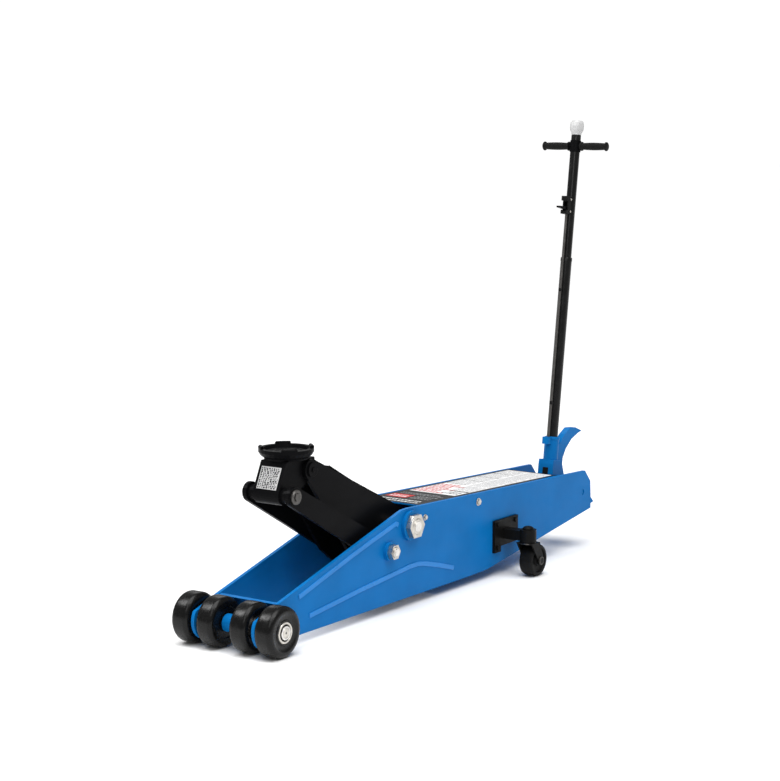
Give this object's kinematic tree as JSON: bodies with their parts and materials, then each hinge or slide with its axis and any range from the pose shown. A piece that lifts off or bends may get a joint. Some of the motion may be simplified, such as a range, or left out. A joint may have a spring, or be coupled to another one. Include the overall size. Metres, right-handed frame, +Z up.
{
  "type": "hydraulic service jack",
  "caption": "Long-chassis hydraulic service jack with a parallelogram lift arm, swivel saddle, lift pedal, upright T-bar handle, front rollers and rear casters.",
  "frame": {"origin": "centre of the bounding box in plan, on the floor", "axes": "+Z up, -Y towards the front wheels and saddle, +Y towards the handle, +X is the side at the left of someone pushing from the handle, seen on the right from the front"},
  "size_m": [0.3928, 1.6288, 1.1973],
  "materials": {
    "blue_paint": "gloss blue enamel",
    "cover_sheet": "blue sheet with a printed label",
    "black_paint": "satin black enamel",
    "wheel_plastic": "hard moulded nylon",
    "black_rubber": "moulded rubber",
    "pale_plastic": "pale moulded plastic",
    "cast_iron": "cast, oily",
    "steel": "zinc-plated"
  },
  "bodies": {
    "chassis": {"front_axle": "steel", "axle_spacer_tube": "blue_paint", "hub_spacer_right": "steel", "hub_spacer_left": "steel", "front_cross_member": "blue_paint", "rear_cross_member": "blue_paint", "bottom_plate": "blue_paint", "top_cover": "cover_sheet", "main_shaft": "steel", "socket_pivot_pin": "steel", "oil_tank": "cast_iron", "pump_block": "cast_iron", "side_plate_right": "blue_paint", "shaft_nut_right": "steel", "link_nut_right": "steel", "link_pin_right": "steel", "caster_bracket_right": "black_paint", "side_plate_left": "blue_paint", "shaft_nut_left": "steel", "link_nut_left": "steel", "link_pin_left": "steel", "caster_bracket_left": "black_paint"},
    "lift_arm_body": {"arm_plate_right": "black_paint", "arm_plate_left": "black_paint", "arm_pivot_tube": "black_paint", "arm_top_web": "black_paint", "ram_pin": "steel", "head_pin": "steel"},
    "head_body": {"saddle_head": "black_paint", "link_bolt_right": "steel", "link_bolt_left": "steel"},
    "saddle_body": {"saddle": "black_paint"},
    "link_body_right": {"parallel_link_right": "black_paint"},
    "link_body_left": {"parallel_link_left": "black_paint"},
    "ram_body": {"crosshead": "steel", "ram_rod": "steel"},
    "plunger_body": {"pump_plunger": "steel"},
    "valve_body": {"release_valve": "steel"},
    "handle_body": {"handle_socket": "blue_paint", "lift_pedal": "blue_paint", "pump_roller": "steel", "lower_tube": "black_paint", "upper_tube": "black_paint", "t_bar": "black_paint", "grip_right": "black_rubber", "grip_left": "black_rubber", "lock_bracket": "black_paint"},
    "release_body": {"release_knob": "pale_plastic", "release_rod": "steel"},
    "lock_rod_body": {"lock_rod": "steel"},
    "lock_lever_body": {"lock_lever": "black_paint"},
    "wheel_body_inner_right": {"wheel_inner_right": "wheel_plastic"},
    "wheel_body_outer_right": {"wheel_outer_right": "wheel_plastic"},
    "caster_swivel_body_right": {"caster_fork_right": "black_paint"},
    "caster_wheel_body_right": {"caster_wheel_right": "black_rubber"},
    "wheel_body_inner_left": {"wheel_inner_left": "wheel_plastic"},
    "wheel_body_outer_left": {"wheel_outer_left": "wheel_plastic"},
    "caster_swivel_body_left": {"caster_fork_left": "black_paint"},
    "caster_wheel_body_left": {"caster_wheel_left": "black_rubber"}
  },
  "joints": [
    {"name": "lift_arm_pivot", "type": "hinge", "parent": "chassis", "child": "lift_arm_body", "pos_m": [0, -0.18437, 0.2045], "axis": [-1, 0, 0], "range_deg": [-43, 20]},
    {"name": "head_level_pivot", "type": "hinge", "parent": "lift_arm_body", "child": "head_body", "pos_m": [0, -0.52535, 0.38964], "axis": [-1, 0, 0], "range_deg": [-20, 43]},
    {"name": "saddle_swivel", "type": "hinge", "parent": "head_body", "child": "saddle_body", "pos_m": [0, -0.56135, 0.41664], "axis": [0, 0, 1], "continuous": true},
    {"name": "link_pivot_right", "type": "hinge", "parent": "chassis", "child": "link_body_right", "pos_m": [0.063, -0.27637, 0.1555], "axis": [-1, 0, 0], "range_deg": [-43, 20]},
    {"name": "link_pivot_left", "type": "hinge", "parent": "chassis", "child": "link_body_left", "pos_m": [-0.063, -0.27637, 0.1555], "axis": [-1, 0, 0], "range_deg": [-43, 20]},
    {"name": "ram_slide", "type": "slide", "parent": "chassis", "child": "ram_body", "axis": [0, -1, 0], "range_m": [-0.07123, 0.03314]},
    {"name": "handle_pivot", "type": "hinge", "parent": "chassis", "child": "handle_body", "pos_m": [0, 0.67763, 0.155], "axis": [-1, 0, 0], "range_deg": [0, 75]},
    {"name": "plunger_slide", "type": "slide", "parent": "chassis", "child": "plunger_body", "axis": [0, -1, 0], "range_m": [0, 0.03897]},
    {"name": "release_knob_turn", "type": "hinge", "parent": "handle_body", "child": "release_body", "pos_m": [0, 0.64226, 0.15984], "axis": [0, 0.1357, 0.9907], "range_deg": [0, 270]},
    {"name": "release_valve_turn", "type": "hinge", "parent": "chassis", "child": "valve_body", "pos_m": [0, 0.53093, 0.149], "axis": [0, 1, 0], "range_deg": [0, 270]},
    {"name": "lock_lever_pivot", "type": "hinge", "parent": "handle_body", "child": "lock_lever_body", "pos_m": [0, 0.72985, 0.95027], "axis": [-1, 0, 0], "range_deg": [0, 20]},
    {"name": "lock_rod_slide", "type": "slide", "parent": "handle_body", "child": "lock_rod_body", "axis": [0, 0.1357, 0.9907], "range_m": [0, 0.00769]},
    {"name": "wheel_spin_inner_right", "type": "hinge", "parent": "chassis", "child": "wheel_body_inner_right", "pos_m": [0.0485, -0.75437, 0.06], "axis": [1, 0, 0], "continuous": true},
    {"name": "wheel_spin_outer_right", "type": "hinge", "parent": "chassis", "child": "wheel_body_outer_right", "pos_m": [0.122, -0.75437, 0.06], "axis": [1, 0, 0], "continuous": true},
    {"name": "caster_swivel_right", "type": "hinge", "parent": "chassis", "child": "caster_swivel_body_right", "pos_m": [0.168, 0.25763, 0.094], "axis": [0, 0, 1], "continuous": true},
    {"name": "caster_spin_right", "type": "hinge", "parent": "caster_swivel_body_right", "child": "caster_wheel_body_right", "pos_m": [0.168, 0.28363, 0.0425], "axis": [1, 0, 0], "continuous": true},
    {"name": "wheel_spin_inner_left", "type": "hinge", "parent": "chassis", "child": "wheel_body_inner_left", "pos_m": [-0.0485, -0.75437, 0.06], "axis": [1, 0, 0], "continuous": true},
    {"name": "wheel_spin_outer_left", "type": "hinge", "parent": "chassis", "child": "wheel_body_outer_left", "pos_m": [-0.122, -0.75437, 0.06], "axis": [1, 0, 0], "continuous": true},
    {"name": "caster_swivel_left", "type": "hinge", "parent": "chassis", "child": "caster_swivel_body_left", "pos_m": [-0.168, 0.25763, 0.094], "axis": [0, 0, 1], "continuous": true},
    {"name": "caster_spin_left", "type": "hinge", "parent": "caster_swivel_body_left", "child": "caster_wheel_body_left", "pos_m": [-0.168, 0.28363, 0.0425], "axis": [1, 0, 0], "continuous": true}
  ],
  "couplings": [
    {"joint": "head_level_pivot", "follows": "lift_arm_pivot", "ratio": -1},
    {"joint": "link_pivot_right", "follows": "lift_arm_pivot", "ratio": 1},
    {"joint": "link_pivot_left", "follows": "lift_arm_pivot", "ratio": 1},
    {"joint": "ram_slide", "follows": "lift_arm_pivot", "m_per_rad": 0.0949},
    {"joint": "plunger_slide", "follows": "handle_pivot", "m_per_rad": 0.02976},
    {"joint": "release_valve_turn", "follows": "release_knob_turn", "ratio": 1},
    {"joint": "lock_rod_slide", "follows": "lock_lever_pivot", "m_per_rad": 0.022}
  ]
}
